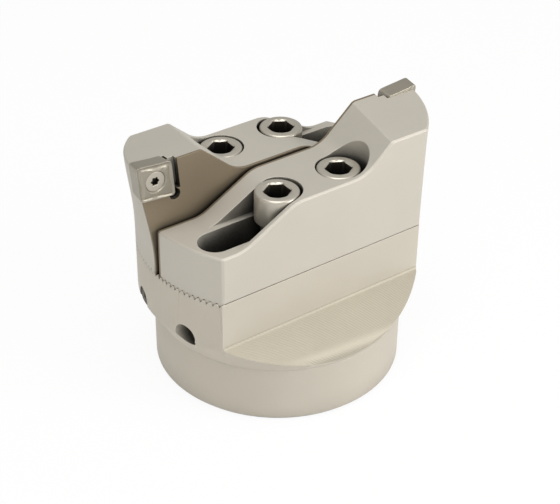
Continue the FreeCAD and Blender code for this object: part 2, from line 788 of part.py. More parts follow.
for label, turned in SIDES:
    body = new_body(label + "_cutting_insert")
    half = insert_edge / 2
    tip = ((-back_x - down_x) * half, (back_z + down_z) * half)
    side = ((back_x - down_x) * half, (down_z - back_z) * half)
    sk = sketch(body, "XY_Plane")
    outline(sk, [tip, (-side[0], -side[1]), (-tip[0], -tip[1]), side])
    block = pad(body, sk, insert_thick, reverse=True)
    block.TaperAngle = -insert_relief.number
    block.setExpression("TaperAngle", (-insert_relief).formula)
    doc.recompute()
    chamfer(body, block, lambda e: abs(ends(e)[0].z - ends(e)[-1].z) > 1,
            insert_nose, "Fillet")
    bore = insert_bore / 2
    cone_depth = size(1.85)
    cone_top = bore + 0.8
    turn(body, [(0, 1), (cone_top, 1), (cone_top, 0), (bore, -cone_depth),
                (bore, -insert_thick - 1), (0, -insert_thick - 1)], kind="Groove")
    put(body, centre_x, 0, centre_z, turned, upright_to_y)

    body = new_body(label + "_insert_screw")
    slope = size(0.8) / cone_depth
    head = cone_top - sink * slope - 0.02
    shank = insert_screw_dia / 2
    run = (head - shank) / slope
    turn(body, [
        (0, -sink),
        (head, -sink),
        (shank, -sink - run),
        (shank, -insert_screw_length + 0.4),
        (shank - 0.4, -insert_screw_length),
        (0, -insert_screw_length),
    ])
    sk = sketch(body, "XY_Plane", -sink)
    hexagon(sk, size(0.0), size(0.0), insert_key)
    pocket(body, sk, insert_key * 0.6)
    put(body, centre_x, 0, centre_z, turned, upright_to_y)

# ---------------------------------------------------------------- mounting
body = new_body("socket_clamp_screw")
radius = grub_dia / 2
turn(body, [
    (0, 0),
    (radius * 0.3, 0),
    (radius, radius * 0.7),
    (radius, grub_length - 0.6),
    (radius - 0.6, grub_length),
    (0, grub_length),
])
sk = sketch(body, "XY_Plane", grub_length)
hexagon(sk, size(0.0), size(0.0), grub_key)
pocket(body, sk, grub_length / 3)
put(body, 0, shank_radius - grub_inset - grub_length, grub_height, False, upright_to_y)

body = new_body("drive_pin")
radius = pin_dia / 2
turn(body, [
    (0, 0),
    (radius - 0.5, 0),
    (radius, 0.5),
    (radius, pin_sink + pin_stand),
    (0, pin_sink + pin_stand),
])
put(body, pin_radius, 0, socket_depth - pin_stand)

# ---------------------------------------------------------------- output
doc.recompute()
for obj in doc.Objects:
    if "Invalid" in obj.State or "Error" in obj.State:
        raise RuntimeError("%s did not compute: %s" % (obj.Label, obj.State))
parts = [obj for obj in doc.Objects if obj.TypeId == "PartDesign::Body"]
for obj in parts:
    if obj.Shape.isNull() or not obj.Shape.isValid() or len(obj.Shape.Solids) != 1:
        raise RuntimeError("%s is not one valid solid" % obj.Label)
os.makedirs("parts", exist_ok=True)
for obj in parts:
    obj.Shape.exportStep("parts/%s.step" % obj.Label)
    box = obj.Shape.BoundBox
    print("%-24s %9.1f mm3  x %.2f..%.2f  y %.2f..%.2f  z %.2f..%.2f" % (
        obj.Label, obj.Shape.Volume, box.XMin, box.XMax, box.YMin, box.YMax, box.ZMin, box.ZMax))
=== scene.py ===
"""Looks for a twin-bit boring head, in metres, +Z up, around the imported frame.

The turned screws and the cutting inserts are surfaces computed with numpy and stand
in for their plain CAD solids.  The slide block is a copy of its CAD mesh, with sloping
shoulders cut and a taller flare added.  Everything else is a CAD node with a node
material.
"""

import json
import math

import bmesh
import bpy
import numpy as np
from mathutils import Matrix, Vector


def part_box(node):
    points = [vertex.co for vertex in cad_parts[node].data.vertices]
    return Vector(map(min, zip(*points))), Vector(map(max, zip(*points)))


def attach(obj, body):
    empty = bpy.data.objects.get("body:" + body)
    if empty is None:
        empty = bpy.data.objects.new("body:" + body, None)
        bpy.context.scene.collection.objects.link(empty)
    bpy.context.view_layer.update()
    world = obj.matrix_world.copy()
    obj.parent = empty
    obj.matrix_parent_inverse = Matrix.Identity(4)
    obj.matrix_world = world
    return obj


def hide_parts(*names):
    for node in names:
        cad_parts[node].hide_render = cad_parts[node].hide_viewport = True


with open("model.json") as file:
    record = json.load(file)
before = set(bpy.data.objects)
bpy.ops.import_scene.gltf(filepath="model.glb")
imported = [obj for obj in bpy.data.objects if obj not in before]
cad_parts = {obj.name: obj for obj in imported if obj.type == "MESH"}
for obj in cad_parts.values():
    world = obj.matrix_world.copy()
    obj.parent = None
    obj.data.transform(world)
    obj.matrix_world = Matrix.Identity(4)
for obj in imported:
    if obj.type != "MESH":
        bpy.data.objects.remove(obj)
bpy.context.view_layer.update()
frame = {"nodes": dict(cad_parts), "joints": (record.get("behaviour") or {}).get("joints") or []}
nodes = frame["nodes"]
joints = {joint["name"]: joint for joint in frame["joints"]}

MM = 0.001
SIDES = (("front", 1.0), ("rear", -1.0))
# What the node groups' colour sockets hold until a material sets them.
DEFAULT_TONE = (0.6, 0.56, 0.48, 1)
BUMP_DEPTH = 0.00002


# ------------------------------------------------------------------ node trees
def link(tree, out_socket, in_socket):
    tree.links.new(out_socket, in_socket)


def new_node(tree, kind, **settings):
    """Add a node; settings are its properties, or its inputs by name."""
    made = tree.nodes.new(kind)
    for key, value in settings.items():
        if hasattr(made, key):
            setattr(made, key, value)
        else:
            made.inputs[key].default_value = value
    return made


def start_group(name, inputs, outputs):
    """A shader node group with its named sockets, and its two end nodes."""
    tree = bpy.data.node_groups.new(name, "ShaderNodeTree")
    for label, kind, value in inputs:
        socket = tree.interface.new_socket(label, in_out="INPUT", socket_type=kind)
        if value is not None:
            socket.default_value = value
    for label, kind in outputs:
        tree.interface.new_socket(label, in_out="OUTPUT", socket_type=kind)
    return tree, tree.nodes.new("NodeGroupInput"), tree.nodes.new("NodeGroupOutput")


FLOAT, COLOUR, VECTOR = "NodeSocketFloat", "NodeSocketColor", "NodeSocketVector"


def satin_group():
    """Satin plating: a slow drift of tone, fine blasted grain and faint tool lines.

    Grain is small noise.  The tool lines are noise stretched 65-fold along X.
    """
    tree, ends_in, ends_out = start_group(
        "satin_plating",
        [("Tone", COLOUR, DEFAULT_TONE), ("Drift", FLOAT, 0.06),
         ("Roughness", FLOAT, 0.42), ("Grain Size", FLOAT, 0.0005),
         ("Lines", FLOAT, 0.3)],
        [("Color", COLOUR), ("Roughness", FLOAT), ("Height", FLOAT)])
    place = new_node(tree, "ShaderNodeTexCoord")
    slow = new_node(tree, "ShaderNodeTexNoise", Scale=55.0, Detail=3.0)
    link(tree, place.outputs["Object"], slow.inputs["Vector"])
    scale = new_node(tree, "ShaderNodeMath", operation="DIVIDE")
    scale.inputs[0].default_value = 1.0
    link(tree, ends_in.outputs["Grain Size"], scale.inputs[1])
    grain = new_node(tree, "ShaderNodeTexNoise", Detail=2.0)
    link(tree, place.outputs["Object"], grain.inputs["Vector"])
    link(tree, scale.outputs[0], grain.inputs["Scale"])
    stretch = new_node(tree, "ShaderNodeMapping")
    stretch.inputs["Scale"].default_value = (40.0, 2600.0, 2600.0)
    link(tree, place.outputs["Object"], stretch.inputs["Vector"])
    lines = new_node(tree, "ShaderNodeTexNoise", Scale=1.0, Detail=2.0)
    link(tree, stretch.outputs[0], lines.inputs["Vector"])
    # Tone times 1 + drift * ((slow - 1/2) + grain_share * (grain - 1/2)).
    grain_share, rough_share = 0.35, 0.12
    tone = new_node(tree, "ShaderNodeMath", operation="MULTIPLY_ADD")
    tone.inputs[2].default_value = 1.0
    centred = new_node(tree, "ShaderNodeMath", operation="SUBTRACT")
    centred.inputs[1].default_value = 0.5
    mixed = new_node(tree, "ShaderNodeMath", operation="ADD")
    fine = new_node(tree, "ShaderNodeMath", operation="MULTIPLY_ADD")
    fine.inputs[1].default_value = grain_share
    fine.inputs[2].default_value = -grain_share / 2
    link(tree, slow.outputs["Fac"], centred.inputs[0])
    link(tree, grain.outputs["Fac"], fine.inputs[0])
    link(tree, centred.outputs[0], mixed.inputs[0])
    link(tree, fine.outputs[0], mixed.inputs[1])
    link(tree, mixed.outputs[0], tone.inputs[0])
    link(tree, ends_in.outputs["Drift"], tone.inputs[1])
    tint = new_node(tree, "ShaderNodeVectorMath", operation="SCALE")
    link(tree, ends_in.outputs["Tone"], tint.inputs[0])
    link(tree, tone.outputs[0], tint.inputs["Scale"])
    link(tree, tint.outputs[0], ends_out.inputs["Color"])
    rough = new_node(tree, "ShaderNodeMath", operation="MULTIPLY_ADD")
    rough.inputs[1].default_value = rough_share
    link(tree, fine.outputs[0], rough.inputs[0])
    link(tree, ends_in.outputs["Roughness"], rough.inputs[2])
    link(tree, rough.outputs[0], ends_out.inputs["Roughness"])
    height = new_node(tree, "ShaderNodeMath", operation="MULTIPLY_ADD")
    link(tree, lines.outputs["Fac"], height.inputs[0])
    link(tree, ends_in.outputs["Lines"], height.inputs[1])
    link(tree, grain.outputs["Fac"], height.inputs[2])
    link(tree, height.outputs[0], ends_out.inputs["Height"])
    return tree


def rounding_and_highlight_group():
    """Broken, rounded corners of the faces: the normal is rounded over a small radius,
    and where that rounding turns away from the flat normal, a painted highlight
    colour is mixed in."""
    tree, ends_in, ends_out = start_group(
        "rounded_edges_painted_highlight",
        [("Radius", FLOAT, 0.0003), ("Color", COLOUR, DEFAULT_TONE),
         ("Highlight Color", COLOUR, (0.9, 0.87, 0.8, 1)), ("Strength", FLOAT, 0.6)],
        [("Color", COLOUR), ("Normal", VECTOR)])
    bevel = new_node(tree, "ShaderNodeBevel", samples=6)
    link(tree, ends_in.outputs["Radius"], bevel.inputs["Radius"])
    flat = new_node(tree, "ShaderNodeNewGeometry")
    dot = new_node(tree, "ShaderNodeVectorMath", operation="DOT_PRODUCT")
    link(tree, bevel.outputs[0], dot.inputs[0])
    link(tree, flat.outputs["Normal"], dot.inputs[1])
    # Painted highlight: where the rounding turns away, this share of the highlight colour is
    # mixed in.
    highlight_mask = new_node(tree, "ShaderNodeMapRange")
    highlight_mask.inputs["From Min"].default_value = 0.995
    highlight_mask.inputs["From Max"].default_value = 0.9
    link(tree, dot.outputs["Value"], highlight_mask.inputs["Value"])
    amount = new_node(tree, "ShaderNodeMath", operation="MULTIPLY")
    link(tree, highlight_mask.outputs[0], amount.inputs[0])
    link(tree, ends_in.outputs["Strength"], amount.inputs[1])
    mix = new_node(tree, "ShaderNodeMix", data_type="RGBA")
    link(tree, amount.outputs[0], mix.inputs["Factor"])
    link(tree, ends_in.outputs["Color"], mix.inputs[6])
    link(tree, ends_in.outputs["Highlight Color"], mix.inputs[7])
    link(tree, mix.outputs[2], ends_out.inputs["Color"])
    link(tree, bevel.outputs[0], ends_out.inputs["Normal"])
    return tree


def recess_painted_shade_group():
    """Painted shade: darker metal where little open space is near, as in a slot, a bore or
    between parts.
    """
    tree, ends_in, ends_out = start_group(
        "recess_painted_shade",
        [("Color", COLOUR, DEFAULT_TONE), ("Reach", FLOAT, 0.016),
         ("Dark", FLOAT, 0.035)],
        [("Color", COLOUR)])
    near = new_node(tree, "ShaderNodeAmbientOcclusion", samples=8)
    link(tree, ends_in.outputs["Reach"], near.inputs["Distance"])
    share = new_node(tree, "ShaderNodeMapRange")
    share.inputs["From Min"].default_value = 0.2
    share.inputs["From Max"].default_value = 0.58
    share.inputs["To Max"].default_value = 1.0
    link(tree, near.outputs["AO"], share.inputs["Value"])
    link(tree, ends_in.outputs["Dark"], share.inputs["To Min"])
    tint = new_node(tree, "ShaderNodeVectorMath", operation="SCALE")
    link(tree, ends_in.outputs["Color"], tint.inputs[0])
    link(tree, share.outputs[0], tint.inputs["Scale"])
    link(tree, tint.outputs[0], ends_out.inputs["Color"])
    return tree


def slit_shade_group():
    """Painted shade: faces close to the middle plane, between the two holders, are darker and
    browner.
    """
    tree, ends_in, ends_out = start_group(
        "slit_painted_shade",
        [("Color", COLOUR, DEFAULT_TONE), ("Half Width", FLOAT, 0.0012),
         ("Shade", COLOUR, (0.42, 0.36, 0.28, 1))],
        [("Color", COLOUR)])
    place = new_node(tree, "ShaderNodeTexCoord")
    parts = new_node(tree, "ShaderNodeSeparateXYZ")
    link(tree, place.outputs["Object"], parts.inputs[0])
    away = new_node(tree, "ShaderNodeMath", operation="ABSOLUTE")
    link(tree, parts.outputs["Y"], away.inputs[0])
    inside = new_node(tree, "ShaderNodeMath", operation="LESS_THAN")
    link(tree, away.outputs[0], inside.inputs[0])
    link(tree, ends_in.outputs["Half Width"], inside.inputs[1])
    shaded = new_node(tree, "ShaderNodeVectorMath", operation="MULTIPLY")
    link(tree, ends_in.outputs["Color"], shaded.inputs[0])
    link(tree, ends_in.outputs["Shade"], shaded.inputs[1])
    mix = new_node(tree, "ShaderNodeMix", data_type="RGBA")
    link(tree, inside.outputs[0], mix.inputs["Factor"])
    link(tree, ends_in.outputs["Color"], mix.inputs[6])
    link(tree, shaded.outputs[0], mix.inputs[7])
    link(tree, mix.outputs[2], ends_out.inputs["Color"])
    return tree


def milling_group():
    """Arcs left by a face mill: the sine of the distance from the cutter's centre."""
    tree, ends_in, ends_out = start_group(
        "milling_arcs",
        [("Centre", VECTOR, (-0.060, -0.060, 0.0)), ("Pitch", FLOAT, 0.0007),
         ("Height", FLOAT, 0.0)],
        [("Height", FLOAT)])
    place = new_node(tree, "ShaderNodeTexCoord")
    reach = new_node(tree, "ShaderNodeVectorMath", operation="DISTANCE")
    link(tree, place.outputs["Object"], reach.inputs[0])
    link(tree, ends_in.outputs["Centre"], reach.inputs[1])
    turns = new_node(tree, "ShaderNodeMath", operation="DIVIDE")
    link(tree, reach.outputs["Value"], turns.inputs[0])
    link(tree, ends_in.outputs["Pitch"], turns.inputs[1])
    phase = new_node(tree, "ShaderNodeMath", operation="MULTIPLY")
    phase.inputs[1].default_value = 2 * math.pi
    link(tree, turns.outputs[0], phase.inputs[0])
    wave = new_node(tree, "ShaderNodeMath", operation="SINE")
    link(tree, phase.outputs[0], wave.inputs[0])
    total = new_node(tree, "ShaderNodeMath", operation="ADD")
    link(tree, wave.outputs[0], total.inputs[0])
    link(tree, ends_in.outputs["Height"], total.inputs[1])
    link(tree, total.outputs[0], ends_out.inputs["Height"])
    return tree


SATIN = satin_group()
ROUNDING_AND_HIGHLIGHT = rounding_and_highlight_group()
SLIT_PAINTED_SHADE = slit_shade_group()
MILLING = milling_group()
RECESS_PAINTED_SHADE = recess_painted_shade_group()


def metal(name, tone, edge_highlight, roughness, drift=0.06, lines=0.3, grain_size=0.0005,
          bump=0.08, edge_radius=0.00028, edge_highlight_strength=0.6, metallic=1.0,
          slit_shade=False, milled=False):
    """A plated or ground steel: satin plating, rounded corners with a painted highlight, painted
    shade in recesses and, where asked, between the two holders.
    """
    made = bpy.data.materials.new(name)
    made.use_nodes = True
    tree = made.node_tree
    shader = tree.nodes["Principled BSDF"]
    shader.inputs["Metallic"].default_value = metallic
    satin = new_node(tree, "ShaderNodeGroup", node_tree=SATIN)
    satin.inputs["Tone"].default_value = (*tone, 1)
    satin.inputs["Drift"].default_value = drift
    satin.inputs["Roughness"].default_value = roughness
    satin.inputs["Grain Size"].default_value = grain_size
    satin.inputs["Lines"].default_value = lines
    rounding_and_highlight = new_node(tree, "ShaderNodeGroup", node_tree=ROUNDING_AND_HIGHLIGHT)
    rounding_and_highlight.inputs["Radius"].default_value = edge_radius
    rounding_and_highlight.inputs["Highlight Color"].default_value = (*edge_highlight, 1)
    rounding_and_highlight.inputs["Strength"].default_value = edge_highlight_strength
    link(tree, satin.outputs["Color"], rounding_and_highlight.inputs["Color"])
    # Painted shade: the colour darkens where little open space is near, as in a slot or a bore.
    recess = new_node(tree, "ShaderNodeGroup", node_tree=RECESS_PAINTED_SHADE)
    colour_with_painted_light = rounding_and_highlight.outputs["Color"]
    # Painted shade on the faces between the two holders, near the middle plane.
    if slit_shade:
        slit_shading = new_node(tree, "ShaderNodeGroup", node_tree=SLIT_PAINTED_SHADE)
        link(tree, colour_with_painted_light, slit_shading.inputs["Color"])
        colour_with_painted_light = slit_shading.outputs["Color"]
    link(tree, colour_with_painted_light, recess.inputs["Color"])
    link(tree, recess.outputs["Color"], shader.inputs["Base Color"])
    link(tree, satin.outputs["Roughness"], shader.inputs["Roughness"])
    raised = new_node(tree, "ShaderNodeBump", Strength=bump, Distance=BUMP_DEPTH)
    height = satin.outputs["Height"]
    if milled:
        arcs = new_node(tree, "ShaderNodeGroup", node_tree=MILLING)
        link(tree, height, arcs.inputs["Height"])
        height = arcs.outputs["Height"]
    link(tree, height, raised.inputs["Height"])
    link(tree, rounding_and_highlight.outputs["Normal"], raised.inputs["Normal"])
    link(tree, raised.outputs[0], shader.inputs["Normal"])
    return made


# The second colour of each metal is its painted highlight at rounded corners.
body_nickel = metal("body_nickel", (0.58, 0.535, 0.455), (0.74, 0.70, 0.62), 0.58,
                    metallic=0.45, drift=0.10, bump=0.14)
holder_nickel = metal("holder_nickel", (0.58, 0.545, 0.475), (0.78, 0.74, 0.67), 0.56,
                      metallic=0.45, drift=0.10, bump=0.14, slit_shade=True)
milled_nickel = metal("milled_nickel", (0.47, 0.43, 0.345), (0.66, 0.62, 0.54), 0.56,
                      metallic=0.35, drift=0.12, bump=0.7, milled=True)
screw_steel = metal("screw_steel", (0.60, 0.56, 0.48), (0.82, 0.79, 0.72), 0.40,
                    metallic=0.7, edge_radius=0.0002)
# Painted shade: inside a socket the colour is near black.
socket_painted_shade = metal("socket_painted_shade", (0.055, 0.045, 0.032), (0.10, 0.08, 0.06), 0.5,
                     metallic=0.3)
carbide = metal("carbide", (0.36, 0.33, 0.27), (0.60, 0.56, 0.48), 0.42, metallic=0.6,
                drift=0.3, edge_radius=0.00015)
inner_steel = metal("inner_steel", (0.12, 0.105, 0.09), (0.25, 0.22, 0.19), 0.45,
                    metallic=0.6)

NODE_METALS = {"head_body": body_nickel, "slide_block": body_nickel,
               "drive_pin": inner_steel, "socket_clamp_screw": inner_steel}
for side, _ in SIDES:
    NODE_METALS[side + "_insert_holder"] = holder_nickel
    NODE_METALS[side + "_clamp_screw"] = screw_steel
    NODE_METALS[side + "_nut_screw"] = screw_steel
    NODE_METALS[side + "_insert_screw"] = screw_steel
    NODE_METALS[side + "_cutting_insert"] = carbide
    for part in ("feed_nut", "adjusting_screw", "lock_ring", "thrust_plug"):
        NODE_METALS[side + "_" + part] = inner_steel
for name, made in NODE_METALS.items():
    for slot in nodes[name].material_slots:
        slot.material = made


# ------------------------------------------------------------------ computed pieces
def grid_piece(name, rows, body, node, skins, shaded_rows=(), closed=False):
    """A closed skin over rows of points, an array of rows x around x 3.

    Rows run from the first pole out, along the surface and in to the last pole, or,
    where closed is set, back to the first row.  Faces in the rows given take skins[1],
    the painted shade inside a socket.
    """
    count, around = rows.shape[:2]
    here = np.arange(around)
    after = (here + 1) % around
    low = np.arange(count if closed else count - 1)
    high = (low + 1) % count
    faces = np.stack([low[:, None] * around + here, low[:, None] * around + after,
                      high[:, None] * around + after, high[:, None] * around + here], -1)
    shade = np.repeat(np.isin(low, shaded_rows).astype(int), around)
    points = rows.reshape(-1, 3)
    quads = faces.reshape(-1, 4)
    mesh = bpy.data.meshes.new(name)
    if closed:
        mesh.from_pydata(points.tolist(), [], quads.tolist())
    else:
        first, last = len(points), len(points) + 1
        points = np.vstack([points, rows[0].mean(0), rows[-1].mean(0)])
        top = (count - 1) * around
        caps = np.vstack([np.stack([after, here, np.full(around, first)], -1),
                          np.stack([top + here, top + after, np.full(around, last)], -1)])
        mesh.from_pydata(points.tolist(), [], quads.tolist() + caps.tolist())
        end = int(count - 2 in shaded_rows)
        shade = np.concatenate([shade, np.zeros(around, int), np.full(around, end)])
    for skin in skins:
        mesh.materials.append(skin)
    mesh.polygons.foreach_set("material_index", shade.astype(np.int32))
    mesh.polygons.foreach_set("use_smooth", np.ones(len(mesh.polygons), bool))
    mesh.set_sharp_from_angle(angle=math.radians(32))
    made = bpy.data.objects.new(name, mesh)
    bpy.context.scene.collection.objects.link(made)
    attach(made, body)
    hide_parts(node)
    return made


AROUND = 96
ANGLES = np.linspace(0, 2 * math.pi, AROUND, endpoint=False)


def hexagon_radius(flats):
    """From the middle to a hexagon's side: flats / 2 / cos(angle off the flat)."""
    off = (ANGLES + math.pi / 6) % (math.pi / 3) - math.pi / 6
    return flats / 2 / np.cos(off)


def turned_rows(profile):
    """Rows about +Z from (radius, height) pairs; a radius may be an array over ANGLES."""
    return np.array([np.stack([radius * np.cos(ANGLES), radius * np.sin(ANGLES),
                               np.broadcast_to(height, ANGLES.shape)], -1)
                     for radius, height in profile])


def thread_wave(levels, pitch):
    """The share of a thread's depth cut away at each level and angle: a triangle wave
    of height / pitch - angle / one turn."""
    turns = levels[:, None] / pitch - ANGLES / (2 * math.pi)
    return np.abs((turns % 1) * 2 - 1)


# The joint and the body of each kind of cap screw, after the side's name.
CAP_SCREWS = {"clamp": ("_clamp_turn", "_clamp"),
              "nut": ("_nut_screw_turn", "_nut_fastener")}


def cap_screw(side, part, pitch=1.25 * MM, flats=6 * MM, deep=4.4 * MM):
    """A cap screw: rounded head, hexagon socket, and a helical thread.

    The thread's radius is the shank's less thread_wave's share of its depth.
    """
    node = side + "_" + part + "_screw"
    joint, body = CAP_SCREWS[part]
    place = np.array(joints[side + joint]["pos_m"])
    lowest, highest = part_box(node)
    head = (highest.x - lowest.x) / 2
    top = highest.z - place[2]
    foot = lowest.z - place[2]
    shank, cut, rim = 3.98 * MM, 0.6 * MM, 0.7 * MM
    neck, bevel, lead_in, point = shank - cut * 0.6, 0.3 * MM, 0.35 * MM, 0.7 * MM
    rows_per_pitch = 8
    bands = int(-foot / pitch) * rows_per_pitch
    levels = np.linspace(foot + 0.4 * MM, -2.5 * MM, bands)
    thread = [(shank - cut * w, z) for w, z in zip(thread_wave(levels, pitch), levels)]
    turns = np.linspace(0, math.pi / 2, 5)
    rounded = [(head - rim + rim * math.cos(t), top - rim + rim * math.sin(t))
               for t in turns]
    socket = hexagon_radius(flats)
    # Just outside the socket's corners, which are at 1.155 times half the flats.
    mouth = flats / 2 * 1.19
    profile = ([(shank - cut - 0.2 * MM, foot)] + thread
               + [(neck, -1.8 * MM), (neck, 0.0), (head - bevel, 0.0), (head, bevel)]
               + rounded
               + [(mouth, top), (socket, top - lead_in), (socket, top - deep),
                  (socket * 0.5, top - deep - point)])
    rows = turned_rows(profile) + place
    # The socket's walls and point take the painted shade.
    socket_shade_rows = (len(profile) - 3, len(profile) - 2)
    return grid_piece(node + "_look", rows, side + body, node,
                      (screw_steel, socket_painted_shade), socket_shade_rows)


def insert_screw(side, sign):
    """A flat countersunk screw with a helical thread and a six-lobed recess, whose
    radius is a millimetre times 1 + 0.14 cos(6 angle)."""
    node = side + "_insert_screw"
    place = np.array(joints[side + "_insert_screw_turn"]["pos_m"])
    lowest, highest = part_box(node)
    face = (highest.y if sign > 0 else lowest.y) * sign
    foot = (lowest.y if sign > 0 else highest.y) * sign
    head = (highest.x - lowest.x) / 2
    lobes = 1.0 * MM * (1 + 0.14 * np.cos(6 * ANGLES))
    shank, core, cut, pitch = 1.7 * MM, 1.35 * MM, 0.3 * MM, 0.6 * MM
    levels = np.linspace(foot + 0.2 * MM, face - 2.6 * MM, 40)
    thread = [(shank - cut * w, z) for w, z in zip(thread_wave(levels, pitch), levels)]
    profile = ([(core, foot)] + thread
               + [(shank, face - 2.2 * MM), (head, face - 0.35 * MM),
                  (head, face - 0.15 * MM), (head - 0.15 * MM, face),
                  (lobes * 1.08, face), (lobes, face - 0.12 * MM),
                  (lobes, face - 1.2 * MM), (lobes * 0.4, face - 1.35 * MM)])
    rows = turned_rows(profile)
    # Local Z becomes the screw's axis, +Y or -Y, and local X stays along X.
    axis = sign * rows[..., 2]
    rows = np.stack([sign * rows[..., 0], axis, -rows[..., 1]], -1)
    rows += (place[0], 0, place[2])
    # The lobed recess's walls and point take the painted shade.
    socket_shade_rows = (len(profile) - 3, len(profile) - 2)
    return grid_piece(node + "_look", rows, side + "_insert_fastener", node,
                      (screw_steel, socket_painted_shade), socket_shade_rows)


INSERT_EDGE, INSERT_CORNER = 9.67 * MM, math.radians(80)
INSERT_RELIEF = math.radians(7)


def insert(side, sign):
    """An 80 degree insert with a chip groove round its top and a countersunk hole.

    Its outline is half / (|cos a|^p + |cos b|^p)^(1/p), where a and b are the angles
    to the two pairs of sides; rows blend from that outline to the hole's circle.
    """
    node = side + "_cutting_insert"
    place = np.array(joints[side + "_insert_screw_turn"]["pos_m"])
    lowest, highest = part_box(node)
    face = (highest.y if sign > 0 else lowest.y) * sign
    back = (lowest.y if sign > 0 else highest.y) * sign
    half = INSERT_EDGE * math.sin(INSERT_CORNER) / 2
    # The corner lies on the diagonal, and its sides' normals 50 degrees either way.
    power, side_turn, diagonal = 11, math.radians(50), math.radians(45)
    near = np.abs(np.cos(ANGLES - diagonal - side_turn))
    far = np.abs(np.cos(ANGLES - diagonal + side_turn))
    outline = half / (near ** power + far ** power) ** (1 / power)
    relief = (face - back) * math.tan(INSERT_RELIEF)
    hole, mouth = 2.0 * MM, 2.75 * MM
    # Share of the outline, its inset, the circle's radius and the level.
    steps = [(1, -relief, 0, back + 0.05 * MM), (1, -0.03 * MM, 0, face - 0.06 * MM),
             (1, -0.08 * MM, 0, face), (1, -0.35 * MM, 0, face),
             (1, -0.75 * MM, 0, face - 0.22 * MM), (1, -1.15 * MM, 0, face - 0.2 * MM),
             (1, -1.5 * MM, 0, face), (0, 0, mouth + 0.1 * MM, face),
             (0, 0, mouth, face - 0.1 * MM), (0, 0, hole, face - 1.6 * MM),
             (0, 0, hole, back), (1, -relief - 0.1 * MM, 0, back)]
    rows = turned_rows([(share * (outline + inset) + circle, level)
                        for share, inset, circle, level in steps])
    rows = np.stack([sign * rows[..., 0], sign * rows[..., 2], rows[..., 1]], -1)[:, ::-1]
    rows += (place[0], 0, place[2])
    return grid_piece(node + "_look", rows, side + "_holder", node, (carbide,),
                      closed=True)


def solid(name, points, faces):
    """A helper solid for cutting or joining; it is removed after use."""
    mesh = bpy.data.meshes.new(name)
    mesh.from_pydata(points.tolist(), [], faces)
    made = bpy.data.objects.new(name, mesh)
    bpy.context.scene.collection.objects.link(made)
    shape = bmesh.new()
    shape.from_mesh(mesh)
    bmesh.ops.recalc_face_normals(shape, faces=shape.faces)
    shape.to_mesh(mesh)
    shape.free()
    return made


def bar(name, outline, half_length):
    """An outline of (y, z) points drawn out along X, both ways."""
    outline = np.array(outline)
    count = len(outline)
    here = np.arange(count)
    after = (here + 1) % count
    ends = np.repeat([-half_length, half_length], count)
    points = np.column_stack([ends, np.tile(outline, (2, 1))])
    sides = np.stack([here, after, count + after, count + here], -1)
    return solid(name, points,
                 [here.tolist(), (count + here).tolist()] + sides.tolist())


def ring(name, outline, around=256):
    """An outline of (radius, z) points turned about Z."""
    radius, height = np.array(outline).T
    count = len(radius)
    turns = np.linspace(0, 2 * math.pi, around, endpoint=False)[:, None]
    points = np.stack([radius * np.cos(turns), radius * np.sin(turns),
                       np.broadcast_to(height, (around, count))], -1).reshape(-1, 3)
    row = np.arange(around)[:, None]
    here, after = row * count, (row + 1) % around * count
    low = np.arange(count)
    high = (low + 1) % count
    faces = np.stack([here + low, here + high, after + high, after + low], -1)
    return solid(name, points, faces.reshape(-1, 4).tolist())


def welded_copy(name):
    """A copy of a CAD node's mesh with its loose triangles joined up."""
    made = bpy.data.objects.new(name + "_look", nodes[name].data.copy())
    bpy.context.scene.collection.objects.link(made)
    shape = bmesh.new()
    shape.from_mesh(made.data)
    bmesh.ops.remove_doubles(shape, verts=shape.verts, dist=1e-6)
    shape.to_mesh(made.data)
    shape.free()
    return made


def combine(made, operation, tool):
    """Join a helper solid to a piece, or cut it away, and drop the helper."""
    change = made.modifiers.new("change", "BOOLEAN")
    change.operation = operation
    change.solver = "EXACT"
    change.object = tool
    result = bpy.data.meshes.new_from_object(
        made.evaluated_get(bpy.context.evaluated_depsgraph_get()))
    made.modifiers.clear()
    made.data = result
    bpy.data.objects.remove(tool)


def faces_of(made, key, width=1):
    """One property of every face, as an array."""
    values = np.zeros(len(made.data.polygons) * width)
    made.data.polygons.foreach_get(key, values)
    return values.reshape(-1, width) if width > 1 else values


